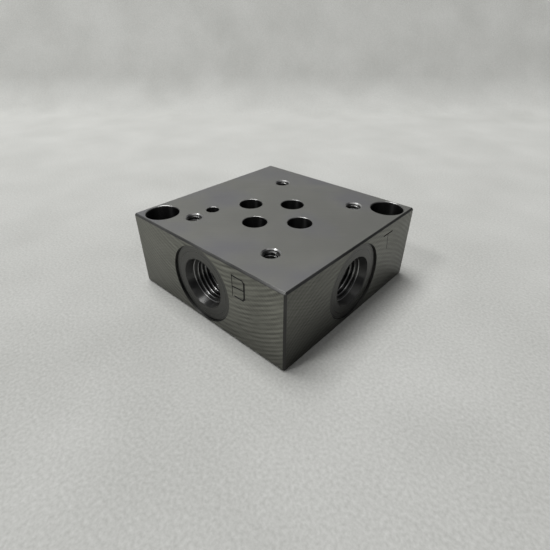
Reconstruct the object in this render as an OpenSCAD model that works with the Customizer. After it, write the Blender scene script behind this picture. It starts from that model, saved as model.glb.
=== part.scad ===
// Side-ported subplate for one size 03 directional valve.
// One machined block: the valve bolts to the ground top face, the lines screw into the four sides,
// and two sunk corner screws hold the block down.
// The origin is at the centre of the underside, +Z points up through the valve face.
// The B port faces -Y, T faces +X, A faces +Y and P faces -X.

/* [Block] */
// Width of the block, from the P face to the T face
block_w = 63.5; // [60:0.5:100]
// Length of the block, from the B face to the A face
block_l = 63.5; // [62:0.5:100]
// Height of the block
block_h = 25.4; // [25.4:0.1:50]
// Chamfer along every outer edge
edge_chamfer = 0.5; // [0.2:0.1:0.6]

/* [Valve pattern] */
// Centre of the valve pattern, off the middle of the block towards the T face
pattern_x = 0.9; // [-2:0.1:2]
// Centre of the valve pattern, off the middle of the block towards the A face
pattern_y = -1.8; // [-3:0.1:1]
// Distance between the P and T drillings
pt_pitch = 20.8; // [19:0.1:24]
// Distance of the A drilling from the pattern centre
a_offset = 8.8; // [8:0.1:12]
// Distance of the B drilling from the pattern centre
b_offset = 8.7; // [8:0.1:12]
// Diameter of the P, T, A and B drillings
valve_port_d = 7.5; // [5:0.1:8]
// How far those drillings run past the side ports' axes, without their points
valve_port_over = 1; // [0.5:0.1:2]
// Edge break at the mouths of the drillings and of the pin hole
mouth_break = 0.25; // [0.1:0.05:0.5]

/* [Valve screws and pin] */
// Distance between the two valve screws nearest the A face
far_screw_pitch = 31; // [29:0.1:33]
// Distance of those screws from the pattern centre
far_screw_y = 21.5; // [20:0.1:23]
// Distance between the two valve screws nearest the B face
near_screw_pitch = 32.5; // [30:0.1:34]
// Distance of those screws from the pattern centre
near_screw_y = 19; // [18:0.1:21]
// Tap drill of the valve screw holes
screw_drill_d = 3.8; // [3.2:0.1:4.5]
// Depth of the tap drill, without its point
screw_drill_depth = 16; // [10:0.5:20]
// Diameter of the countersink at the mouth of a valve screw hole
screw_sink_d = 5.5; // [5:0.1:6.5]
// Distance from the locating pin to the valve screw beside it
pin_gap = 7.5; // [6.5:0.1:9]
// Diameter of the locating pin hole
pin_d = 4; // [3:0.1:4.5]
// Depth of the locating pin hole, without its drill point
pin_depth = 5; // [4:0.1:8]

/* [Side ports] */
// B and A ports, off the middle of their faces along X
side_port_x = -0.4; // [-2:0.1:2]
// T and P ports, off the middle of their faces along Y
side_port_y = -1; // [-2:0.1:2]
// Diameter of the spot face
spot_d = 24.2; // [20:0.1:24.2]
// Depth of the spot face
spot_depth = 0.6; // [0.2:0.1:1.5]
// Mouth of the tapered seal seat
seat_d = 15.7; // [15.3:0.1:17]
// Depth of the tapered seal seat
seat_depth = 2.5; // [1.5:0.1:3]
// Angle of the seat from the port's axis
seat_angle = 12; // [8:1:15]
// Tap drill of the port thread
port_drill_d = 12.9; // [12:0.1:13.5]
// Depth of the tap drill below the spot face, without its point
port_drill_depth = 15.5; // [12:0.1:15.5]
// Diameter of the gallery from the thread to the valve drilling
gallery_d = 9.5; // [7:0.1:11]

/* [Mounting screws] */
// Distance of the mounting screws from the two sides of their corner
bolt_inset = 6.35; // [6.2:0.05:8]
// Diameter of the recess for the screw head
head_d = 10.3; // [9.8:0.1:11]
// Depth of the recess for the screw head
head_depth = 7; // [6:0.1:12]
// Diameter of the hole for the screw shank
shank_d = 7.1; // [6.5:0.1:8]
// Edge break at the mouths of the mounting holes
bolt_break = 0.4; // [0.1:0.1:0.5]

/* [Drills] */
// Included angle of the drill points
point_angle = 118; // [90:1:140]

/* [Hidden] */
$fn = 96;

// How far each cutter starts outside the face that it enters
over = 1;
// Height of the side ports, at the middle of the block
port_z = block_h / 2;
// The valve drillings end inside the galleries, just below the side ports' axes
valve_port_depth = block_h - port_z + valve_port_over;
// Places of the valve screws from the pattern centre
valve_screws_at = [
    [far_screw_pitch / 2, far_screw_y],
    [near_screw_pitch / 2, -near_screw_y],
    [-near_screw_pitch / 2, -near_screw_y],
    [-far_screw_pitch / 2, far_screw_y]
];
// The locating pin is in line with the valve screw on the P side, nearest the B face
pin_at = [-near_screw_pitch / 2, pin_gap - near_screw_y];
// The mounting screws stand in two opposite corners
bolt_at = [block_w / 2 - bolt_inset, block_l / 2 - bolt_inset];
// The B, T, A and P circuits. Each has the turn of its face from the B face, the distance of that face
// from the middle of the block, the place of its port along the face, and the place of its drilling
circuits = [
    [0, block_l / 2, side_port_x, [pattern_x, pattern_y - b_offset]],
    [90, block_w / 2, side_port_y, [pattern_x + pt_pitch / 2, pattern_y]],
    [180, block_l / 2, -side_port_x, [pattern_x, pattern_y + a_offset]],
    [270, block_w / 2, -side_port_y, [pattern_x - pt_pitch / 2, pattern_y]]
];

// Length of the point of a drill, from one radius down to a smaller one
function point_length(from_r, to_r = 0) = (from_r - to_r) / tan(point_angle / 2);

// A rectangle about the origin with its corners cut off at 45 degrees
module chamfered_rectangle(w, h, c) {
    polygon([
        [-w / 2 + c, -h / 2],
        [w / 2 - c, -h / 2],
        [w / 2, -h / 2 + c],
        [w / 2, h / 2 - c],
        [w / 2 - c, h / 2],
        [-w / 2 + c, h / 2],
        [-w / 2, h / 2 - c],
        [-w / 2, -h / 2 + c]
    ]);
}

// The bare block, standing on z = 0, with all its outer edges chamfered
module blank() {
    translate([0, 0, block_h / 2])
        intersection() {
            linear_extrude(block_h, center = true)
                chamfered_rectangle(block_w, block_l, edge_chamfer);
            rotate([90, 0, 0])
                linear_extrude(block_l, center = true)
                    chamfered_rectangle(block_w, block_h, edge_chamfer);
            rotate([90, 0, 90])
                linear_extrude(block_w, center = true)
                    chamfered_rectangle(block_l, block_h, edge_chamfer);
        }
}

// Cutter for a blind drilled hole that enters at z = 0 and runs down, with a 45 degree mouth
module blind_hole(d, depth, mouth_d) {
    rotate_extrude()
        polygon([
            [0, over],
            [mouth_d / 2 + over, over],
            [d / 2, (d - mouth_d) / 2],
            [d / 2, -depth],
            [0, -depth - point_length(d / 2)]
        ]);
}

// Cutter for a mounting screw: a recess for the head, then a hole right through the block
module bolt_hole() {
    head_r = head_d / 2;
    shank_r = shank_d / 2;
    rotate_extrude()
        polygon([
            [0, over],
            [head_r + bolt_break + over, over],
            [head_r, -bolt_break],
            [head_r, -head_depth],
            [shank_r, -head_depth],
            [shank_r, bolt_break - block_h],
            [shank_r + bolt_break + over, -block_h - over],
            [0, -block_h - over]
        ]);
}

// Cutter for a side port that enters at z = 0 and runs down: the spot face, the tapered seal seat,
// the tap drill and its point, and the gallery that ends at the valve drilling's axis
module side_port(reach) {
    seat_r = seat_d / 2;
    seat_end = spot_depth + seat_depth;
    seat_end_r = seat_r - seat_depth * tan(seat_angle);
    drill_r = port_drill_d / 2;
    drill_end = spot_depth + port_drill_depth;
    gallery_r = gallery_d / 2;
    rotate_extrude()
        polygon([
            [0, over],
            [spot_d / 2, over],
            [spot_d / 2, -spot_depth],
            [seat_r, -spot_depth],
            [seat_end_r, -seat_end],
            [drill_r, drill_r - seat_end_r - seat_end],
            [drill_r, -drill_end],
            [gallery_r, -drill_end - point_length(drill_r, gallery_r)],
            [gallery_r, -reach],
            [0, -reach - point_length(gallery_r)]
        ]);
}

// One circuit: the drilling in the valve face, and the side port whose gallery ends at its axis.
// The drilling's revolve starts at its far side and the port's at its underside, where they don't meet
module circuit(turn, face, along, at) {
    outward = [sin(turn), -cos(turn)];
    translate([at.x, at.y, block_h])
        rotate(turn + 90)
            blind_hole(valve_port_d, valve_port_depth, valve_port_d + 2 * mouth_break);
    rotate(turn)
        translate([along, -face, port_z])
            rotate([90, 0, 0])
                rotate(-90)
                    side_port(face - at * outward);
}

// The valve's screw holes and its pin hole, about the pattern centre
module valve_fixings() {
    for (at = valve_screws_at)
        translate(at)
            blind_hole(screw_drill_d, screw_drill_depth, screw_sink_d);
    translate(pin_at)
        blind_hole(pin_d, pin_depth, pin_d + 2 * mouth_break);
}

// The finished block with its drilled circuits
module subplate() {
    color([0.40, 0.40, 0.39])
        difference() {
            blank();
            for (c = circuits)
                circuit(c[0], c[1], c[2], c[3]);
            translate([pattern_x, pattern_y, block_h])
                valve_fixings();
            for (corner = [-1, 1])
                translate([corner * bolt_at.x, corner * bolt_at.y, block_h])
                    bolt_hole();
        }
}

subplate();
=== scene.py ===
"""Dressed model of a side-ported valve subplate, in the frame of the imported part.
The origin is at the middle of the underside, +Z is up, the B port faces -Y and the T port faces +X.
Shapes are worked out in millimetres, and the finished mesh is scaled to metres."""

import bpy
import numpy as np
from mathutils import Matrix, Vector


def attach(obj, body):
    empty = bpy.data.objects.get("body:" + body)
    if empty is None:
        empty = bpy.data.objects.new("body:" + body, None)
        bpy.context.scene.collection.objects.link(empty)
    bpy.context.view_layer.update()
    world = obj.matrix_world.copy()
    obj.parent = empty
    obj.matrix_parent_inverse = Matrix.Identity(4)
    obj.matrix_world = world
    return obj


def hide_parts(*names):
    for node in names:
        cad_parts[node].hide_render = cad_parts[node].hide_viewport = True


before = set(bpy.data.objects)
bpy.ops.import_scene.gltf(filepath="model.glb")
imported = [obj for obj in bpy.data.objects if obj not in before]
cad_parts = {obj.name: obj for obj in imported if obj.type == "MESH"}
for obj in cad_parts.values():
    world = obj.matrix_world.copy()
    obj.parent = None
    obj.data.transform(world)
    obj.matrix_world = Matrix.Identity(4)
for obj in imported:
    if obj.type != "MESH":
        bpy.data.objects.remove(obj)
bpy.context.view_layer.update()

MM = 0.001
UP, DOWN, BACK = (0, 0, 1), (0, 0, -1), (0, 1, 0)

# Block
SIDE = 63.5
HEIGHT = 25.4
CHAMFER = 0.5
# The least cut at the corners of the block's outline, where the chamfers meet
LEAST_CUT = 0.04
# Edges are softened that far to both sides, but over no more than that share of a side
SOFT_EDGE = 0.07
SOFT_SHARE = 0.4
SOFT_STEPS = 4
# How far the cutters start outside the block
OVER = 1.0

# Valve pattern
VALVE_PORTS = {"B": (0.9, -10.5), "T": (11.3, -1.8), "A": (0.9, 7.0), "P": (-9.5, -1.8)}
VALVE_PORT_R = 3.75
VALVE_PORT_DEPTH = 13.7
VALVE_SCREWS = ((16.4, 19.7), (17.15, -20.8), (-15.35, -20.8), (-14.6, 19.7))
SCREW_DRILL_R = 1.9
SCREW_DRILL_DEPTH = 16.0
SCREW_SINK_R = 2.75
SCREW_MAJOR_R = 2.413
SCREW_PITCH = 1.058
SCREW_THREAD_START = -1.2 * SCREW_PITCH
SCREW_THREAD_END = 13.0
PIN_AT = (-15.35, -13.3)
PIN_R = 2.0
PIN_DEPTH = 5.0
MOUTH_BREAK = 0.25

# Side ports
PORT_X, PORT_Y, PORT_Z = -0.4, -1.0, 12.7
SPOT_R = 12.1
SPOT_DEPTH = 0.6
SEAT_R = 7.85
SEAT_DEPTH = 2.5
SEAT_TAPER = np.tan(np.radians(12.0))
# Width of a band between the seat and the thread's lead-in that takes the crests' light tone: a painted
# highlight
LEAD_EDGE = 0.15
PORT_DRILL_R = 6.45
PORT_DRILL_DEPTH = 15.5
PORT_MAJOR_R = 7.144
PORT_PITCH = 1.411
PORT_THREAD_END = 14.6
PORT_THREAD_FADE = 1.3 * PORT_PITCH
# A thread's cutter is that much narrower than the drill, so that their walls don't coincide
CREST_DIP = 0.01
GALLERY_R = 4.75

# Mounting screws
BOLT_AT = 25.4
HEAD_R = 5.15
HEAD_DEPTH = 7.0
SHANK_R = 3.55
BOLT_BREAK = 0.4

# Drill points have an included angle of 118 degrees
POINT_SLOPE = 1.0 / np.tan(np.radians(59.0))

# Each side: how far its way out is turned from -Y, its port's place along it, and its thread's first depth
SIDES = {
    "B": (0, PORT_X, 1.66),
    "T": (90, PORT_Y, 0.85),
    "A": (180, -PORT_X, 1.1),
    "P": (270, -PORT_Y, 0.7),
}

# Port letters: each stroke has its two ends, across and up its face, and how hard it was struck
STROKE_HALF_WIDTH = 0.27
STROKE_DEPTH = 0.24
STROKE_RISE = 0.2
LETTERS = {
    "B": (
        ((13.55, 22.5), (13.5, 15.95), 0.5),
        ((18.05, 21.7), (17.95, 16.8), 1.15),
        ((13.55, 22.35), (17.4, 22.3), 0.8),
        ((17.4, 22.3), (18.05, 21.7), 0.9),
        ((13.6, 18.95), (18.0, 19.3), 0.75),
        ((14.4, 16.05), (17.3, 16.05), 0.9),
        ((17.3, 16.05), (17.95, 16.8), 0.95),
    ),
    "T": (((13.2, 22.2), (18.3, 22.1), 0.8), ((15.65, 22.1), (16.5, 16.7), 0.5)),
    "A": (
        ((13.4, 16.1), (15.8, 22.5), 0.9),
        ((15.8, 22.5), (18.2, 16.1), 1.1),
        ((14.3, 18.4), (17.3, 18.4), 0.7),
    ),
    "P": (
        ((13.6, 22.4), (13.6, 16.0), 1.1),
        ((13.6, 22.3), (17.9, 22.3), 0.8),
        ((17.9, 22.3), (17.9, 19.2), 1.0),
        ((13.6, 19.2), (17.9, 19.2), 0.8),
    ),
}

# Round pieces. A rounded mouth starts at that angle, in degrees, and ends at a right angle
HOLE_SEGMENTS = 96
ROUND_FROM, ROUND_TO = 22.0, 90.0
ROUND_STEPS = 4
PORT_SEGMENTS = 128
PORT_THREAD_SEGMENTS = 88
SCREW_THREAD_SEGMENTS = 48

# Edges that turn by more than this are sharp: round a flat face, within a thread, and elsewhere
FLAT_CREASE, THREAD_CREASE, CREASE = np.radians(1.0), np.radians(48.0), np.radians(28.0)

# Finishes, in the order of the mesh's material slots
(GROUND, UNDERSIDE, MILLED_BA, MILLED_TP, CHAMFERED, CORNERED, SUNK, BROKEN, TURNED_BA, TURNED_TP, SEATED,
 RECESSED, DRILLED, CRESTED, THREADED, STAMPED) = range(16)

# Materials
FLOAT, COLOUR, VECTOR = "NodeSocketFloat", "NodeSocketColor", "NodeSocketVector"
# Spans of a noise that are spread over a whole effect
NARROW, MIDDLE, WIDE = (0.35, 0.65), (0.3, 0.7), (0.25, 0.75)
UNIT = (0.0, 1.0)
# Blue stain on ground iron
STAIN = (0.163, 0.163, 0.176, 1)
# Bores that far from both middle lines of the block are upright
CORNER_FROM = 10.0

# Light: the room that the metal mirrors, the haze that lights the rest, and the background
DARK_WALL, DIM_WALL = (0.09, 0.09, 0.095, 1), (0.20, 0.205, 0.21, 1)
WINDOW_WALL, PALE_CEILING = (0.75, 0.75, 0.74, 1), (0.42, 0.42, 0.415, 1)
AMBIENT, BACK_GLOW, BACKGROUND = (0.10, 0.10, 0.10, 1), (0.30, 0.30, 0.30, 1), (0.60, 0.605, 0.60, 1)
# Patches of the world: the way to each, and the cosines to that way at which it starts and is full
DIM_PATCH = ((-1, 0, 0), -0.3, 0.8)
WINDOW_PATCH = ((-0.55, 0.36, 0.75), 0.50, 0.96)
CEILING_PATCH = ((0.32, -0.38, 0.87), 0.86, 0.96)
GLOW_PATCH = ((0.30, 0.85, 0.43), 0.1, 1.0)
# Lamps: the way to each, its width and height, and its watts
LAMP_DISTANCE = 2500.0
LAMPS = {
    "ceiling_lamp": ((-0.26, -0.01, 0.966), (1154, 1154), 46.0),
    "front_lamp": ((-0.22, -0.645, 0.73), (440, 300), 13.0),
    "side_lamp": ((0.665, -0.055, 0.743), (300, 300), 1.8),
}

# Camera: its place and aim, its lens on a sensor of that width, and the nearest that it sees
CAMERA_AT, CAMERA_AIM = (76.17, -83.94, 76.82), (-0.63, 0.25, 0.0)
CAMERA_LENS, CAMERA_SENSOR, CAMERA_NEAR = 25.113, 36.0, 5.0
# The way along the floor from the camera to the block
AWAY = (-0.674, 0.739)


def softened(corners, reach, closed):
    """Corners V of polylines, each replaced by the curve (1-t)^2 A + 2t(1-t) V + t^2 B, where A and B lie
    on the two sides of V, up to reach away. An open line keeps its ends. The arrays are
    (..., corner, axis)."""
    before, after = np.roll(corners, 1, -2) - corners, np.roll(corners, -1, -2) - corners
    lengths = [np.linalg.norm(side, axis=-1, keepdims=True) for side in (before, after)]
    if not closed:
        lengths[0][..., 0, :] = lengths[1][..., -1, :] = np.inf
    start = corners + before * np.minimum(reach / lengths[0], SOFT_SHARE)
    end = corners + after * np.minimum(reach / lengths[1], SOFT_SHARE)
    if not closed:
        end[..., 0, :], start[..., -1, :] = corners[..., 0, :], corners[..., -1, :]
        start[..., 0, :], end[..., -1, :] = corners[..., 0, :], corners[..., -1, :]
    t = np.linspace(0.0, 1.0, SOFT_STEPS)[:, None]
    curve = (
        (1 - t) ** 2 * start[..., None, :]
        + 2 * t * (1 - t) * corners[..., None, :]
        + t**2 * end[..., None, :]
    )
    return curve.reshape(*corners.shape[:-2], -1, corners.shape[-1])


def rings_to_faces(rings, around):
    """Quads between neighbouring rings of points, numbered ring by ring, that close round each ring."""
    i, j = np.meshgrid(np.arange(rings - 1), np.arange(around), indexing="ij")
    nxt, ring, above = (j + 1) % around, i * around, (i + 1) * around
    return np.stack([ring + j, ring + nxt, above + nxt, above + j], -1).reshape(-1, 4)


def block_surface():
    """The block as a closed surface of two parameters. Up the profile, from the underside over one chamfer,
    the side and the other chamfer to the top, each point gives an inset and a height. At that inset the
    outline round the block is a square whose corners are cut by the chamfer less twice the inset. All the
    edges are softened."""
    far = 2 * CHAMFER
    profile = np.array([
        (far, 0.0), (CHAMFER, 0.0), (0.0, CHAMFER),
        (0.0, HEIGHT - CHAMFER), (CHAMFER, HEIGHT), (far, HEIGHT),
    ])
    profile = softened(profile, SOFT_EDGE, False)[SOFT_STEPS - 1 : 1 - SOFT_STEPS]
    half = SIDE / 2 - profile[:, 0]
    near = half - np.maximum(CHAMFER - 2 * profile[:, 0], LEAST_CUT)
    x = np.stack([near, half, half, near, -near, -half, -half, -near], 1)
    y = np.stack([-half, -near, near, half, half, near, -near, -half], 1)
    outline = softened(np.stack([x, y], -1), SOFT_EDGE, True)
    height = np.broadcast_to(profile[:, 1][:, None, None], outline.shape[:2] + (1,))
    points = np.concatenate([outline, height], -1)
    rings, around = points.shape[:2]
    faces = rings_to_faces(rings, around).tolist()
    faces.append(list(range(around))[::-1])
    faces.append(list(range((rings - 1) * around, rings * around)))
    return points.reshape(-1, 3), faces


def revolved(profile, finishes, segments):
    """A profile of (radius, depth) points turned about the axis of depth: x = r cos a, y = r sin a and
    z = depth. The first and the last point are on the axis. Each side of the profile has its own finish."""
    r, depth = np.array(profile, float).T
    angle = np.arange(segments) * 2 * np.pi / segments
    x, y = r[1:-1, None] * np.cos(angle), r[1:-1, None] * np.sin(angle)
    z = np.broadcast_to(depth[1:-1, None], x.shape)
    ends = [(0, 0, depth[0]), (0, 0, depth[-1])]
    points = np.concatenate([np.stack([x, y, z], -1).reshape(-1, 3), ends])
    j = np.arange(segments)
    nxt, last = (j + 1) % segments, (len(r) - 3) * segments
    top, tip = len(points) - 2, len(points) - 1
    faces = (
        np.stack([np.full(segments, top), nxt, j], 1).tolist()
        + rings_to_faces(len(r) - 2, segments).tolist()
        + np.stack([np.full(segments, tip), last + j, last + nxt], 1).tolist()
    )
    return points, faces, np.repeat(finishes, segments)


def screw_thread(major, minor, pitch, start, end, fade, segments):
    """A right-hand 60 degree thread as a closed surface of two parameters: round the helix, a in steps of
    a turn, and across one pitch, k from crest to crest. The angle is 2 pi a, the depth is
    start + pitch (a + k), and the radius goes from the minor to the major one and back with k, with the
    crest's two edges worn off. It dies out over the last part of the depth. The two open ends are closed by
    fans from the axis."""
    worn, crest, root, flank = 0.07, 1 / 8, 7 / 16, 5 / 16
    across = np.array([-crest - worn, worn - crest, crest - worn, crest + worn, root, 1 - root])
    tooth = np.array([worn / flank, 0.0, 0.0, worn / flank, 1.0, 1.0])
    kinds = len(across)
    steps = segments * int(np.ceil((end - start) / pitch))
    a = np.arange(steps + 1)[:, None]
    tail = np.arange(steps + 1, steps + segments + 1)
    angle = np.concatenate([np.broadcast_to(a, (steps + 1, kinds)).ravel(), tail]) * 2 * np.pi / segments
    depth = start + pitch * np.concatenate([(a / segments + across).ravel(), tail / segments + across[0]])
    lift = np.concatenate([np.broadcast_to(tooth, (steps + 1, kinds)).ravel(), np.zeros(segments)])
    r = minor + (major - minor) * lift * np.clip((end - depth) / fade, 0.0, 1.0)
    points = np.stack([r * np.cos(angle), r * np.sin(angle), depth], 1)
    ends = np.array([(0, 0, start + pitch / 2), (0, 0, depth.max() - pitch / 2)])
    first, last = len(points), len(points) + 1

    def at(step, kind):
        """Number of the point at a step and a kind. The last kind is followed by the first, a turn on."""
        step = step + segments * (kind == kinds)
        kind = np.where(kind == kinds, 0, kind)
        return np.where(step <= steps, step * kinds + kind, (steps + 1) * kinds + step - steps - 1)

    s, k = np.meshgrid(np.arange(steps), np.arange(kinds), indexing="ij")
    sides = np.stack([at(s, k), at(s + 1, k), at(s + 1, k + 1), at(s, k + 1)], -1).reshape(-1, 4)
    turn, rise = np.arange(segments), np.arange(kinds)
    flat, zero = np.zeros(segments, int), np.zeros(kinds, int)
    mouth = np.concatenate([
        np.stack([np.full(segments, first), at(turn + 1, flat), at(turn, flat)], 1),
        np.stack([np.full(kinds, first), at(zero, rise), at(zero, rise + 1)], 1),
    ])
    floor = np.concatenate([
        np.stack([np.full(segments, last), at(steps + turn, flat), at(steps + turn + 1, flat)], 1),
        np.stack([np.full(kinds, last), at(zero + steps, rise + 1), at(zero + steps, rise)], 1),
    ])
    faces = sides.tolist() + mouth.tolist() + floor.tolist()
    # The crests and their worn edges get a light tone, a painted highlight on top of their real glints, and
    # the flanks and roots a dark one, painted shade.
    finishes = np.full(len(faces), THREADED)
    finishes[: len(sides)] = np.tile([CRESTED] * 3 + [THREADED] * 3, steps)
    return np.concatenate([points, ends]), faces, finishes


def stroke(start, end, press):
    """One stamped stroke, a groove with sloping sides and ends: its bottom runs from start to end at full
    depth, and it widens evenly up to a rectangle just outside the face. x and y lie in the face, and z is
    the depth."""
    start, end = np.array(start), np.array(end)
    along = (end - start) / np.linalg.norm(end - start)
    beside = np.array([-along[1], along[0]])
    wide = press * STROKE_HALF_WIDTH * (1 + STROKE_RISE / STROKE_DEPTH)
    flat = np.stack([
        start - wide * (along + beside), end + wide * (along - beside), end + wide * (along + beside),
        start - wide * (along - beside), start, end,
    ])
    depth = press * np.array([-STROKE_RISE] * 4 + [STROKE_DEPTH] * 2)
    faces = [(3, 2, 1, 0), (0, 1, 5, 4), (2, 3, 4, 5), (1, 2, 5), (3, 0, 4)]
    return np.column_stack([flat, depth]), faces, np.full(len(faces), STAMPED)


def placed(cutter, origin, inward, up):
    """A cutter whose points are (across, up, depth), set at origin with its depth along inward."""
    points, faces, finishes = cutter
    inward, up = np.array(inward, float), np.array(up, float)
    points = np.array(origin, float) + points @ np.stack([np.cross(up, inward), up, inward])
    return points, faces, finishes


def drill_point(r, depth):
    """End of a drilled hole's profile: the wall down to that depth, and the drill point."""
    return [(r, depth), (0, depth + r * POINT_SLOPE)]


def rounded_mouth(r, round_r):
    """Start of a hole's profile with a rounded mouth: the radius is r + round (1 - sin t) and the depth is
    round (1 - cos t), for t up to a right angle. The first slope runs on, up to a rim outside the face."""
    t = np.radians(np.linspace(ROUND_FROM, ROUND_TO, ROUND_STEPS))
    curve = np.column_stack([r + round_r * (1 - np.sin(t)), round_r * (1 - np.cos(t))])
    rim = (curve[0, 0] + (OVER + curve[0, 1]) / np.tan(t[0]), -OVER)
    return [(0, -OVER), rim, *curve.tolist()]


def plain_hole(r, depth, round_r):
    """Cutter for a drilled hole with a rounded mouth and a drill point."""
    profile = rounded_mouth(r, round_r) + drill_point(r, depth)
    return revolved(profile, [BROKEN] * (ROUND_STEPS + 1) + [DRILLED, DRILLED], HOLE_SEGMENTS)


def tapped_hole():
    """Cutter for a valve screw's hole: a 45 degree countersink that the thread cuts into, and the drill."""
    mouth = SCREW_SINK_R
    profile = [
        (0, -OVER), (mouth + OVER, -OVER), (SCREW_MAJOR_R, mouth - SCREW_MAJOR_R),
        (SCREW_DRILL_R, mouth - SCREW_DRILL_R), (SCREW_DRILL_R, SCREW_THREAD_END),
        *drill_point(SCREW_DRILL_R, SCREW_DRILL_DEPTH),
    ]
    # Below the thread's major radius the countersink takes the threads' dark tone: painted shade.
    return revolved(profile, [SUNK, SUNK, THREADED, CRESTED, DRILLED, DRILLED], HOLE_SEGMENTS)


def bolt_hole():
    """Cutter for a mounting screw: the recess for its head, and the hole right through."""
    profile = rounded_mouth(HEAD_R, BOLT_BREAK) + [
        (HEAD_R, HEAD_DEPTH), (SHANK_R, HEAD_DEPTH), (SHANK_R, HEIGHT - BOLT_BREAK),
        (SHANK_R + BOLT_BREAK + OVER, HEIGHT + OVER), (0, HEIGHT + OVER),
    ]
    sides = [BROKEN] * (ROUND_STEPS + 1) + [DRILLED, DRILLED, DRILLED, BROKEN, BROKEN]
    return revolved(profile, sides, HOLE_SEGMENTS)


def side_port(reach, turned):
    """Cutter for a side port: the spot face, the tapered seat, the tap drill and the gallery."""
    seat_end, seat_end_r = SPOT_DEPTH + SEAT_DEPTH, SEAT_R - SEAT_DEPTH * SEAT_TAPER
    drill_end = SPOT_DEPTH + PORT_DRILL_DEPTH
    profile = [
        (0, -OVER), (SPOT_R, -OVER), (SPOT_R, SPOT_DEPTH), (SEAT_R, SPOT_DEPTH), (seat_end_r, seat_end),
        (seat_end_r - LEAD_EDGE, seat_end + LEAD_EDGE),
        (PORT_DRILL_R, seat_end + seat_end_r - PORT_DRILL_R),
        (PORT_DRILL_R, PORT_THREAD_END), (PORT_DRILL_R, drill_end),
        (GALLERY_R, drill_end + (PORT_DRILL_R - GALLERY_R) * POINT_SLOPE), (GALLERY_R, reach),
        (0, reach + GALLERY_R * POINT_SLOPE),
    ]
    # The lead-in's first band takes the crests' light tone, a painted highlight, and the rest the threads'
    # dark tone, painted shade.
    sides = [RECESSED, RECESSED, turned, SEATED, CRESTED, THREADED, CRESTED] + [DRILLED] * 4
    return revolved(profile, sides, PORT_SEGMENTS)


def side_axes(turn):
    """The way into the block through the side turned so far from -Y, and the way along it to the right."""
    c, s = np.cos(np.radians(turn)), np.sin(np.radians(turn))
    return np.array([-s, c, 0.0]), np.array([c, s, 0.0])


def letter_cutters():
    """Every stroke of the four port letters, on its own side."""
    for port, strokes in LETTERS.items():
        inward = side_axes(SIDES[port][0])[0]
        for (start, low), (end, high), press in strokes:
            groove = stroke((-start, low), (-end, high), press)
            yield placed(groove, -inward * SIDE / 2, inward, UP)


def circuit_cutters():
    """For each circuit the drilling in the valve face, and the side port with its thread."""
    for port, (turn, along, thread_start) in SIDES.items():
        inward, right = side_axes(turn)
        at = np.array([*VALVE_PORTS[port], 0.0])
        drilling = plain_hole(VALVE_PORT_R, VALVE_PORT_DEPTH, MOUTH_BREAK)
        yield placed(drilling, at + (0, 0, HEIGHT), DOWN, BACK)
        mouth = right * along - inward * SIDE / 2 + (0, 0, PORT_Z)
        turned = TURNED_BA if port in "BA" else TURNED_TP
        yield placed(side_port(SIDE / 2 + at @ inward, turned), mouth, inward, UP)
        thread = screw_thread(
            PORT_MAJOR_R, PORT_DRILL_R - CREST_DIP, PORT_PITCH, thread_start, PORT_THREAD_END,
            PORT_THREAD_FADE, PORT_THREAD_SEGMENTS,
        )
        yield placed(thread, mouth, inward, UP)


def top_cutters():
    """The valve's tapped screw holes and its pin hole, and the two mounting holes."""
    for at in VALVE_SCREWS:
        yield placed(tapped_hole(), (*at, HEIGHT), DOWN, BACK)
        thread = screw_thread(
            SCREW_MAJOR_R, SCREW_DRILL_R - CREST_DIP, SCREW_PITCH, SCREW_THREAD_START, SCREW_THREAD_END,
            SCREW_PITCH, SCREW_THREAD_SEGMENTS,
        )
        yield placed(thread, (*at, HEIGHT), DOWN, BACK)
    yield placed(plain_hole(PIN_R, PIN_DEPTH, MOUTH_BREAK), (*PIN_AT, HEIGHT), DOWN, BACK)
    for corner in (-BOLT_AT, BOLT_AT):
        yield placed(bolt_hole(), (corner, corner, HEIGHT), DOWN, BACK)


def put(name, data):
    """A new object in the scene, with that mesh, lamp or camera."""
    made = bpy.data.objects.new(name, data)
    bpy.context.scene.collection.objects.link(made)
    return made


def mesh_piece(name, points, faces, finishes):
    """A mesh object of these points and faces, with one material slot for each finish."""
    mesh = bpy.data.meshes.new(name)
    mesh.from_pydata(points.tolist(), [], faces)
    for finish in FINISHES:
        mesh.materials.append(finish)
    mesh.polygons.foreach_set("material_index", np.asarray(finishes, np.int32))
    mesh.update()
    return put(name, mesh)


def block_finishes(piece):
    """The finish of each face of the bare block, by the way that the face looks."""
    normals = np.empty(3 * len(piece.data.polygons))
    piece.data.polygons.foreach_get("normal", normals)
    x, y, z = normals.reshape(-1, 3).T
    flat, upright = 0.999, 0.1
    return np.select(
        [z > flat, z < -flat, abs(y) > flat, abs(x) > flat, abs(z) < upright],
        [GROUND, UNDERSIDE, MILLED_BA, MILLED_TP, CORNERED],
        CHAMFERED,
    )


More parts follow.
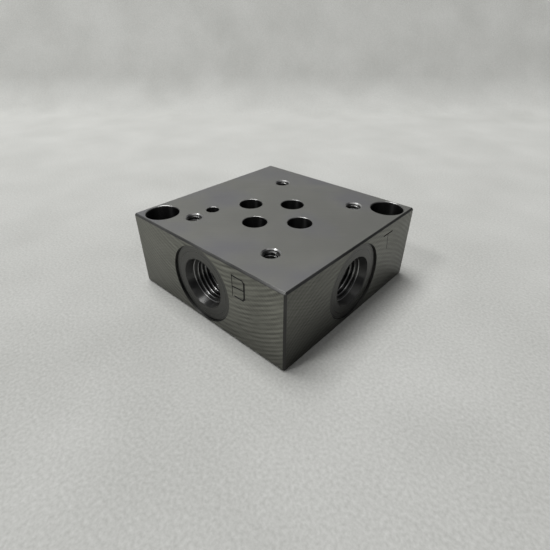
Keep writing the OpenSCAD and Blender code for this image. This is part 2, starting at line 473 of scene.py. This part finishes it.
def crease(mesh):
    """Shades the mesh smooth but for edges that turn by more than the limit for their place."""
    count = len(mesh.polygons)
    normals, totals, finish = np.empty(3 * count), np.empty(count, np.int32), np.empty(count, np.int32)
    mesh.polygons.foreach_get("normal", normals)
    mesh.polygons.foreach_get("loop_total", totals)
    mesh.polygons.foreach_get("material_index", finish)
    edges = np.empty(len(mesh.loops), np.int32)
    mesh.loops.foreach_get("edge_index", edges)
    owner = np.repeat(np.arange(count), totals)
    order = np.argsort(edges, kind="stable")
    one, other = owner[order[0::2]], owner[order[1::2]]
    normals = normals.reshape(-1, 3)
    turn = np.einsum("ij,ij->i", normals[one], normals[other])
    flat = (finish[one] <= MILLED_TP) | (finish[other] <= MILLED_TP)
    thread = np.isin(finish[one], (CRESTED, THREADED)) & np.isin(finish[other], (CRESTED, THREADED))
    limit = np.select([flat, thread], [FLAT_CREASE, THREAD_CREASE], CREASE)
    sharp = turn < np.cos(limit)
    mesh.shade_smooth()
    mark = mesh.attributes.get("sharp_edge") or mesh.attributes.new("sharp_edge", "BOOLEAN", "EDGE")
    mark.data.foreach_set("value", sharp)


def dressed_block():
    """The block with every hole, thread and letter cut out of it, as one closed mesh in metres."""
    points, faces = block_surface()
    block = mesh_piece("blank", points, faces, np.zeros(len(faces)))
    block.data.polygons.foreach_set("material_index", block_finishes(block).astype(np.int32))
    makers = (letter_cutters, circuit_cutters, top_cutters)
    cutters = [mesh_piece("cutter", *cutter) for make in makers for cutter in make()]
    for cutter in cutters:
        cut = block.modifiers.new("cut", "BOOLEAN")
        cut.operation, cut.solver, cut.object = "DIFFERENCE", "MANIFOLD", cutter
    ready = block.evaluated_get(bpy.context.evaluated_depsgraph_get())
    mesh = bpy.data.meshes.new_from_object(ready)
    mesh.name = "subplate_block"
    for scratch in [block, *cutters]:
        bpy.data.meshes.remove(scratch.data)
    mesh.transform(Matrix.Scale(MM, 4))
    crease(mesh)
    return put("subplate_block", mesh)


def add(tree, kind, **settings):
    """A new node of that kind, with these settings."""
    made = tree.nodes.new(kind)
    for name, value in settings.items():
        setattr(made, name, value)
    return made


def feed(tree, socket, value):
    """Links a socket to value if that is another node's output, and otherwise sets it."""
    if isinstance(value, bpy.types.NodeSocket):
        tree.links.new(value, socket)
    else:
        socket.default_value = value


def fed(tree, node, *values):
    """First output of a node whose inputs take these values in order."""
    for socket, value in zip(node.inputs, values):
        feed(tree, socket, value)
    return node.outputs[0]


def calc(tree, operation, *values):
    """Output of a Math node with these values."""
    return fed(tree, add(tree, "ShaderNodeMath", operation=operation), *values)


def joined(tree, *values):
    """Output of a Combine XYZ node with these values, and 0 for the rest."""
    return fed(tree, add(tree, "ShaderNodeCombineXYZ"), *values)


def spread(tree, value, span, onto):
    """Output of a Map Range node that takes one pair of ends onto the other."""
    return fed(tree, add(tree, "ShaderNodeMapRange"), value, *span, *onto)


def noise(tree, vector, size, detail, rough=0.5):
    """Value of a noise texture with features of about that size."""
    made = add(tree, "ShaderNodeTexNoise")
    feed(tree, made.inputs["Vector"], vector)
    made.inputs["Scale"].default_value = 1.0 / size
    made.inputs["Detail"].default_value = detail
    made.inputs["Roughness"].default_value = rough
    return made.outputs["Fac"]


def blend(tree, amount, one, other):
    """Colour output of a Mix node."""
    made = add(tree, "ShaderNodeMix", data_type="RGBA")
    feed(tree, made.inputs[0], amount)
    feed(tree, made.inputs[6], one)
    feed(tree, made.inputs[7], other)
    return made.outputs[2]


def scaled(tree, vector, factor):
    """A colour or a place times a factor."""
    made = add(tree, "ShaderNodeVectorMath", operation="SCALE")
    feed(tree, made.inputs[0], vector)
    feed(tree, made.inputs["Scale"], factor)
    return made.outputs[0]


def in_mm(tree):
    """Object coordinates in millimetres: the place, and its parts under X, Y and Z."""
    place = scaled(tree, add(tree, "ShaderNodeTexCoord").outputs["Object"], 1.0 / MM)
    split = add(tree, "ShaderNodeSeparateXYZ")
    tree.links.new(place, split.inputs[0])
    return place, split.outputs


def new_group(name, inputs, outputs):
    """An empty shader node group: (group, its input node's outputs, its output node's inputs)."""
    group = bpy.data.node_groups.new(name, "ShaderNodeTree")
    for label, kind, default in inputs:
        group.interface.new_socket(label, in_out="INPUT", socket_type=kind).default_value = default
    for label, kind in outputs:
        group.interface.new_socket(label, in_out="OUTPUT", socket_type=kind)
    return group, add(group, "NodeGroupInput").outputs, add(group, "NodeGroupOutput").inputs


def use(tree, group, **values):
    """Places a group in a material, with its inputs given by name, and gives its outputs."""
    made = add(tree, "ShaderNodeGroup", node_tree=GROUPS[group])
    for name, value in values.items():
        feed(tree, made.inputs[name], value)
    return made.outputs


def iron_tone_group():
    """Colour of bare iron: two tones in soft patches, with a fine grain."""
    patch_size, speck_size = 18.0, 0.35
    group, given, out = new_group(
        "iron_tone",
        [("Place", VECTOR, (0, 0, 0)), ("Dark", COLOUR, (0, 0, 0, 1)), ("Light", COLOUR, (1, 1, 1, 1)),
         ("Grain", FLOAT, 0.1)],
        [("Color", COLOUR)],
    )
    patch = spread(group, noise(group, given["Place"], patch_size, detail=2.0), NARROW, UNIT)
    speck = calc(group, "SUBTRACT", noise(group, given["Place"], speck_size, detail=3.0, rough=0.6), 0.5)
    level = calc(group, "MULTIPLY_ADD", speck, given["Grain"], 1.0)
    tone = blend(group, patch, given["Dark"], given["Light"])
    group.links.new(scaled(group, tone, level), out["Color"])
    return group


def cutter_arcs_group():
    """Marks of a face mill, as arcs one pitch apart: a wave of
    (up + sqrt(radius^2 - (across - centre)^2)) / pitch, stronger in some patches, with finer scratches
    along the same arcs. A negative bend turns the arcs over."""
    drift_size, drift_turns = 9.0, 0.4
    patch_size, patch_share = 8.0, (0.1, 0.32)
    stretch, finer, scratch_share = 0.12, 1.7, 1.5
    group, given, out = new_group(
        "cutter_arcs",
        [("Across", FLOAT, 0), ("Up", FLOAT, 0), ("Centre", FLOAT, 0), ("Radius", FLOAT, 50),
         ("Bend", FLOAT, 1), ("Pitch", FLOAT, 1)],
        [("Ridge", FLOAT)],
    )
    off = calc(group, "SUBTRACT", given["Across"], given["Centre"])
    square = calc(group, "POWER", given["Radius"], 2.0)
    inside = calc(group, "SUBTRACT", square, calc(group, "MULTIPLY", off, off))
    arc = calc(group, "SQRT", calc(group, "MAXIMUM", inside, 1.0))
    bent = calc(group, "MULTIPLY", arc, given["Bend"])
    way = calc(group, "DIVIDE", calc(group, "ADD", given["Up"], bent), given["Pitch"])
    where = joined(group, given["Across"], given["Up"])
    drift = calc(group, "MULTIPLY", noise(group, where, drift_size, detail=1.0), drift_turns)
    wave = calc(group, "SINE", calc(group, "MULTIPLY", calc(group, "ADD", way, drift), 2 * np.pi))
    patch = spread(group, noise(group, where, patch_size, detail=2.0), NARROW, patch_share)
    along = joined(
        group, calc(group, "MULTIPLY", given["Across"], stretch), calc(group, "MULTIPLY", way, finer)
    )
    scratch = calc(group, "SUBTRACT", noise(group, along, 1.0, detail=3.0, rough=0.7), 0.5)
    fine = calc(group, "MULTIPLY_ADD", scratch, scratch_share, 0.5)
    group.links.new(calc(group, "MULTIPLY_ADD", wave, patch, fine), out["Ridge"])
    return group


def turned_rings_group():
    """Marks of a turning tool, as uneven rings: a noise of the distance from the axis over the pitch."""
    group, given, out = new_group(
        "turned_rings",
        [("Across", FLOAT, 0), ("Up", FLOAT, 0), ("Centre", FLOAT, 0), ("Height", FLOAT, 0),
         ("Pitch", FLOAT, 0.4)],
        [("Ridge", FLOAT)],
    )
    side = calc(group, "SUBTRACT", given["Across"], given["Centre"])
    rise = calc(group, "SUBTRACT", given["Up"], given["Height"])
    square = calc(group, "ADD", calc(group, "MULTIPLY", side, side), calc(group, "MULTIPLY", rise, rise))
    ring = add(group, "ShaderNodeTexNoise", noise_dimensions="1D")
    feed(group, ring.inputs["W"], calc(group, "DIVIDE", calc(group, "SQRT", square), given["Pitch"]))
    ring.inputs["Scale"].default_value = 1.0
    ring.inputs["Detail"].default_value = 2.0
    group.links.new(ring.outputs["Fac"], out["Ridge"])
    return group


def fine_lines_group():
    """Fine straight lines of grinding: a noise stretched many times along one way."""
    stretch = 50.0
    group, given, out = new_group(
        "fine_lines",
        [("Along", FLOAT, 0), ("Across", FLOAT, 0), ("Pitch", FLOAT, 0.3)],
        [("Line", FLOAT)],
    )
    along = calc(group, "DIVIDE", given["Along"], calc(group, "MULTIPLY", given["Pitch"], stretch))
    where = joined(group, along, calc(group, "DIVIDE", given["Across"], given["Pitch"]))
    group.links.new(noise(group, where, 1.0, detail=3.0), out["Line"])
    return group


def iron_tone(tree, place, tones, grain):
    """Colour of bare iron between two tones."""
    dark, light = tones
    return use(tree, "iron_tone", Place=place, Dark=dark, Light=light, Grain=grain)["Color"]


def new_material(name, metallic):
    """A new material: (material, its tree, its shader)."""
    material = bpy.data.materials.new(name)
    material.use_nodes = True
    shader = material.node_tree.nodes["Principled BSDF"]
    shader.inputs["Metallic"].default_value = metallic
    return material, material.node_tree, shader


def raise_marks(tree, shader, height, depth):
    """Marks in the surface of that depth in millimetres, as a Bump node."""
    bump = add(tree, "ShaderNodeBump")
    bump.inputs["Strength"].default_value = 1.0
    bump.inputs["Distance"].default_value = depth * MM
    tree.links.new(height, bump.inputs["Height"])
    tree.links.new(bump.outputs[0], shader.inputs["Normal"])


def ground_iron(name, tones):
    """Ground face: satin, with fine grinding lines and faint blue stains."""
    pitch, depth, grain, rough = 0.35, 0.0012, 0.10, (0.34, 0.46)
    stain_size, stain_span, stain_share = 20.0, (0.44, 0.64), (0.0, 0.8)
    material, tree, shader = new_material(name, 1.0)
    place, axes = in_mm(tree)
    along, across = [calc(tree, way, axes["X"], axes["Y"]) for way in ("ADD", "SUBTRACT")]
    line = use(tree, "fine_lines", Along=along, Across=across, Pitch=pitch)["Line"]
    stain = spread(tree, noise(tree, place, stain_size, detail=2.0), stain_span, stain_share)
    tone = blend(tree, stain, iron_tone(tree, place, tones, grain), STAIN)
    tree.links.new(tone, shader.inputs["Base Color"])
    tree.links.new(spread(tree, line, WIDE, rough), shader.inputs["Roughness"])
    raise_marks(tree, shader, line, depth)
    return material


def milled_iron(name, axis, tones, centre, radius, bend, pitch, depth, trail, faint, contrast, painted_shade):
    """Milled side: warm grey, with the arcs of the cutter, fainter at one end, a weaker set of arcs that
    its trailing edge left, and painted shade that darkens it downwards and towards that end."""
    grain, ridge_span, rough = 0.2, (0.1, 0.9), (0.42, 0.30)
    trail_shift, trail_pitch = 3.0, 0.7
    faint_span, shade_across, shade_up, shade_top = (-22, 4), (-32, 12), (1.5, 19), 1.05
    material, tree, shader = new_material(name, 1.0)
    place, axes = in_mm(tree)
    across, up = axes[axis], axes["Z"]
    sets = (centre, bend, pitch, 1 - trail), (centre - trail_shift, -bend, trail_pitch * pitch, trail)
    shares = []
    for middle, way, step, share in sets:
        arcs = use(
            tree, "cutter_arcs", Across=across, Up=up, Centre=middle, Radius=radius, Bend=way, Pitch=step
        )
        shares.append(calc(tree, "MULTIPLY", arcs["Ridge"], share))
    strength = spread(tree, across, faint_span, (faint, 1.0))
    ridge = calc(tree, "SUBTRACT", calc(tree, "ADD", *shares), 0.5)
    ridge = calc(tree, "MULTIPLY_ADD", ridge, strength, 0.5)
    # Painted shade: the tone is darkened downwards and towards the faint end of the marks.
    along_low, up_low = painted_shade
    shade_along = spread(tree, across, shade_across, (along_low, 1.0))
    shade_level = calc(tree, "MULTIPLY", shade_along, spread(tree, up, shade_up, (up_low, shade_top)))
    level = calc(tree, "MULTIPLY", spread(tree, ridge, ridge_span, contrast), shade_level)
    tone = scaled(tree, iron_tone(tree, place, tones, grain), level)
    tree.links.new(tone, shader.inputs["Base Color"])
    tree.links.new(spread(tree, ridge, ridge_span, rough), shader.inputs["Roughness"])
    raise_marks(tree, shader, ridge, depth)
    return material


def turned_iron(name, axis, centre, tones, painted_shade):
    """Turned spot face: smooth, with fine rings about the port, and painted shade that darkens it low down.
    """
    pitch, depth, grain, rough, ring_level = 0.45, 0.012, 0.08, (0.24, 0.34), (0.72, 1.18)
    lean, rise, shade_span = 0.12, 0.99, (0.0, 23.0)
    material, tree, shader = new_material(name, 1.0)
    place, axes = in_mm(tree)
    across, up = axes[axis], axes["Z"]
    rings = use(tree, "turned_rings", Across=across, Up=up, Centre=centre, Height=PORT_Z, Pitch=pitch)
    ring = rings["Ridge"]
    # Painted shade: the tone is darkened low down, along a line that leans a little across the face.
    slant = calc(tree, "ADD", calc(tree, "MULTIPLY", across, lean), calc(tree, "MULTIPLY", up, rise))
    shade_level = spread(tree, slant, shade_span, painted_shade)
    level = calc(tree, "MULTIPLY", spread(tree, ring, MIDDLE, ring_level), shade_level)
    tone = scaled(tree, iron_tone(tree, place, tones, grain), level)
    tree.links.new(tone, shader.inputs["Base Color"])
    tree.links.new(spread(tree, ring, MIDDLE, rough), shader.inputs["Roughness"])
    raise_marks(tree, shader, ring, depth)
    return material


def cut_iron(name, tones, rough, grain=0.15):
    """Cut iron without a set of marks, such as chamfers and broken edges: two tones and an uneven gloss."""
    patch_size = 6.0
    material, tree, shader = new_material(name, 1.0)
    place = in_mm(tree)[0]
    tree.links.new(iron_tone(tree, place, tones, grain), shader.inputs["Base Color"])
    patch = noise(tree, place, patch_size, detail=1.0)
    tree.links.new(spread(tree, patch, MIDDLE, rough), shader.inputs["Roughness"])
    return material


def drawn_iron(name, tones, rough, axis):
    """Wall of a bored or tapped hole: fine marks round the hole draw its glints out along the axis. The
    axis is up, or for the side it is the way out of the nearest side, but up in the corners."""
    grain, drawn, steep = 0.05, 0.9, 9.0
    material, tree, shader = new_material(name, 1.0)
    place, axes = in_mm(tree)
    tree.links.new(iron_tone(tree, place, tones, grain), shader.inputs["Base Color"])
    if axis == "side":
        far_x, far_y = [calc(tree, "ABSOLUTE", axes[label]) for label in "XY"]
        corner = calc(tree, "GREATER_THAN", calc(tree, "MINIMUM", far_x, far_y), CORNER_FROM)
        way = joined(
            tree,
            calc(tree, "SUBTRACT", calc(tree, "GREATER_THAN", far_x, far_y), corner),
            calc(tree, "SUBTRACT", calc(tree, "LESS_THAN", far_x, far_y), corner),
            calc(tree, "MULTIPLY", corner, steep),
        )
    else:
        way = joined(tree, *UP)
    tree.links.new(way, shader.inputs["Tangent"])
    shader.inputs["Roughness"].default_value = rough
    shader.inputs["Anisotropic"].default_value = drawn
    return material


def cloth_floor():
    """Pale cloth on the table: off-white, with a faint weave and soft patches, and painted light that makes
    it paler at the back.
    """
    dark, pale = (0.432, 0.435, 0.414, 1), (0.578, 0.581, 0.560, 1)
    fleck_size, fleck_share, patch_size, fleck_span = 0.8, 1.6, 40.0, (0.8, 1.8)
    painted_light_span, painted_light_level = (-40, 160), (1.0, 1.12)
    weave_size, weave_depth = 0.9, 0.08
    rough, sheen = 0.9, 0.2
    material, tree, shader = new_material("floor_cloth", 0.0)
    place, axes = in_mm(tree)
    fleck, patch = [noise(tree, place, size, detail=2.0) for size in (fleck_size, patch_size)]
    amount = spread(tree, calc(tree, "MULTIPLY_ADD", fleck, fleck_share, patch), fleck_span, UNIT)
    # Painted light: the cloth is made paler towards the back, away from the camera.
    back = [calc(tree, "MULTIPLY", axes[label], part) for label, part in zip("XY", AWAY)]
    level = spread(tree, calc(tree, "ADD", *back), painted_light_span, painted_light_level)
    tree.links.new(scaled(tree, blend(tree, amount, dark, pale), level), shader.inputs["Base Color"])
    shader.inputs["Roughness"].default_value = rough
    shader.inputs["Specular IOR Level"].default_value = sheen
    raise_marks(tree, shader, noise(tree, place, weave_size, detail=2.0), weave_depth)
    return material


def sweep_floor(material):
    """Floor and backdrop as one sheet: a profile that runs flat, turns up in part of a circle behind the
    object and goes on as a slope, carried straight along the way to the right of the camera."""
    width, front, back, bend, slope, length = 6000.0, 1500.0, 264.0, 70.0, np.radians(54.0), 200.0
    bend_steps, columns = 24, 9
    turn = np.linspace(0.0, slope, bend_steps)
    run = np.append(-front, back + bend * np.sin(turn))
    rise = np.append(0.0, bend * (1 - np.cos(turn)))
    run = np.append(run, run[-1] + length * np.cos(slope))[:, None, None]
    rise = np.append(rise, rise[-1] + length * np.sin(slope))[:, None, None]
    away, right = np.array([*AWAY, 0.0]), np.array([AWAY[1], -AWAY[0], 0.0])
    side = np.linspace(-width, width, columns)[None, :, None]
    points = run * away + side * right + rise * np.array(UP)
    i, j = np.meshgrid(np.arange(len(points) - 1), np.arange(columns - 1), indexing="ij")
    here, above = i * columns + j, (i + 1) * columns + j
    faces = np.stack([here, here + 1, above + 1, above], -1)
    mesh = bpy.data.meshes.new("floor")
    mesh.from_pydata((points.reshape(-1, 3) * MM).tolist(), [], faces.reshape(-1, 4).tolist())
    mesh.materials.append(material)
    mesh.shade_smooth()
    floor = put("floor", mesh)


def soft_lamp(name, way, size, watts):
    """A soft lamp of that width and height that looks at the block from that way."""
    data = bpy.data.lights.new(name, "AREA")
    data.shape, data.energy = "RECTANGLE", watts
    data.size, data.size_y = size[0] * MM, size[1] * MM
    lamp = put(name, data)
    lamp.location = Vector(way).normalized() * LAMP_DISTANCE * MM
    lamp.rotation_euler = (-lamp.location).to_track_quat("-Z", "Y").to_euler()


def faces_way(tree, way, low, high):
    """How far a ray into the world points along that way: 0 at the cosine low, 1 at the cosine high."""
    along = add(tree, "ShaderNodeVectorMath", operation="DOT_PRODUCT")
    tree.links.new(add(tree, "ShaderNodeTexCoord").outputs["Generated"], along.inputs[0])
    along.inputs[1].default_value = way
    return spread(tree, along.outputs["Value"], (low, high), UNIT)


def studio():
    """Plain soft light: a wide lamp overhead, smaller ones at the front and the side, and a dim world that
    is paler at the back. The metal mirrors a room that is dark on the right, with one pale wall at the back
    on the left and a pale patch of ceiling above the camera."""
    world = bpy.data.worlds.new("studio")
    world.use_nodes = True
    tree = world.node_tree
    room = blend(tree, faces_way(tree, *DIM_PATCH), DARK_WALL, DIM_WALL)
    room = blend(tree, faces_way(tree, *WINDOW_PATCH), room, WINDOW_WALL)
    room = blend(tree, faces_way(tree, *CEILING_PATCH), room, PALE_CEILING)
    ray = add(tree, "ShaderNodeLightPath").outputs
    haze = blend(tree, faces_way(tree, *GLOW_PATCH), AMBIENT, BACK_GLOW)
    seen = blend(tree, ray["Is Glossy Ray"], haze, room)
    seen = blend(tree, ray["Is Camera Ray"], seen, BACKGROUND)
    tree.links.new(seen, tree.nodes["Background"].inputs["Color"])
    bpy.context.scene.world = world
    for name, lamp in LAMPS.items():
        soft_lamp(name, *lamp)
    bpy.context.scene.view_settings.view_transform = "Standard"


def photo_camera():
    """The camera at the photograph's place."""
    data = bpy.data.cameras.new("camera")
    data.lens, data.sensor_width, data.clip_start = CAMERA_LENS, CAMERA_SENSOR, CAMERA_NEAR * MM
    camera = put("camera", data)
    place, target = Vector(CAMERA_AT) * MM, Vector(CAMERA_AIM) * MM
    camera.location = place
    camera.rotation_euler = (target - place).to_track_quat("-Z", "Y").to_euler()
    bpy.context.scene.camera = camera


GROUPS = {
    "iron_tone": iron_tone_group(),
    "cutter_arcs": cutter_arcs_group(),
    "turned_rings": turned_rings_group(),
    "fine_lines": fine_lines_group(),
}

# In the order of the finishes' numbers
FINISHES = (
    ground_iron("ground_valve_face", ((0.178, 0.179, 0.168, 1), (0.200, 0.201, 0.188, 1))),
    ground_iron("ground_underside", ((0.170, 0.170, 0.166, 1), (0.190, 0.190, 0.186, 1))),
    milled_iron(
        "milled_side_b_a", "X", ((0.178, 0.179, 0.156, 1), (0.196, 0.197, 0.172, 1)),
        centre=2.4, radius=46.0, bend=1.0, pitch=1.52, depth=0.04, trail=0.22, faint=0.5,
        contrast=(0.55, 1.42), painted_shade=(0.86, 0.70),
    ),
    # Darker tones than the B and A sides': painted shade of the T side, which the P side shares.
    milled_iron(
        "milled_side_t_p", "Y", ((0.135, 0.136, 0.120, 1), (0.155, 0.156, 0.138, 1)),
        centre=-1.0, radius=49.0, bend=-1.0, pitch=1.58, depth=0.03, trail=0.36, faint=1.0,
        contrast=(0.70, 1.25), painted_shade=(0.68, 0.56),
    ),
    # Dark tones on the outer chamfers, darkest on the upright corners: painted shade.
    cut_iron("chamfer_painted_shade", ((0.075, 0.075, 0.073, 1), (0.115, 0.115, 0.112, 1)), rough=(0.36, 0.48)),
    cut_iron("corner_painted_shade", ((0.045, 0.045, 0.044, 1), (0.065, 0.065, 0.063, 1)), rough=(0.36, 0.48)),
    # A lighter tone on the countersinks than on the ground face: painted highlight.
    cut_iron("countersink_painted_highlight", ((0.36, 0.36, 0.355, 1), (0.42, 0.42, 0.414, 1)), rough=(0.27, 0.36)),
    cut_iron("broken_edge", ((0.17, 0.17, 0.167, 1), (0.20, 0.20, 0.196, 1)), rough=(0.26, 0.36)),
    turned_iron(
        "turned_port_b_a", "X", PORT_X, ((0.084, 0.084, 0.079, 1), (0.100, 0.100, 0.094, 1)),
        painted_shade=(0.52, 1.04),
    ),
    # A little darker than the B and A spot faces: painted shade of the T side, which the P side shares.
    turned_iron(
        "turned_port_t_p", "Y", PORT_Y, ((0.074, 0.074, 0.070, 1), (0.088, 0.088, 0.083, 1)),
        painted_shade=(0.61, 1.0),
    ),
    # A dark tone on the seal seats: painted shade; their drawn marks give the real glint.
    drawn_iron("seat_painted_shade", ((0.115, 0.115, 0.113, 1), (0.14, 0.14, 0.138, 1)), rough=0.40, axis="side"),
    cut_iron("recess_wall", ((0.11, 0.11, 0.108, 1), (0.14, 0.14, 0.137, 1)), rough=(0.34, 0.44)),
    # A dark tone inside the bores: painted shade; their drawn marks give real glints.
    drawn_iron("bore_painted_shade", ((0.07, 0.07, 0.069, 1), (0.085, 0.085, 0.084, 1)), rough=0.30, axis="up"),
    # Light crests and dark thread flanks: painted highlight and painted shade; the flanks' drawn marks still
    # give real glints.
    cut_iron(
        "crest_painted_highlight", ((0.30, 0.30, 0.296, 1), (0.36, 0.36, 0.355, 1)), rough=(0.25, 0.32), grain=0.08
    ),
    drawn_iron("thread_painted_shade", ((0.06, 0.06, 0.059, 1), (0.085, 0.085, 0.083, 1)), rough=0.38, axis="side"),
    # A near-black tone in the stamped grooves: painted shade.
    cut_iron("letter_painted_shade", ((0.028, 0.028, 0.027, 1), (0.045, 0.045, 0.043, 1)), rough=(0.34, 0.46)),
)

block = dressed_block()
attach(block, "root")
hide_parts("subplate")
sweep_floor(cloth_floor())
studio()
photo_camera()
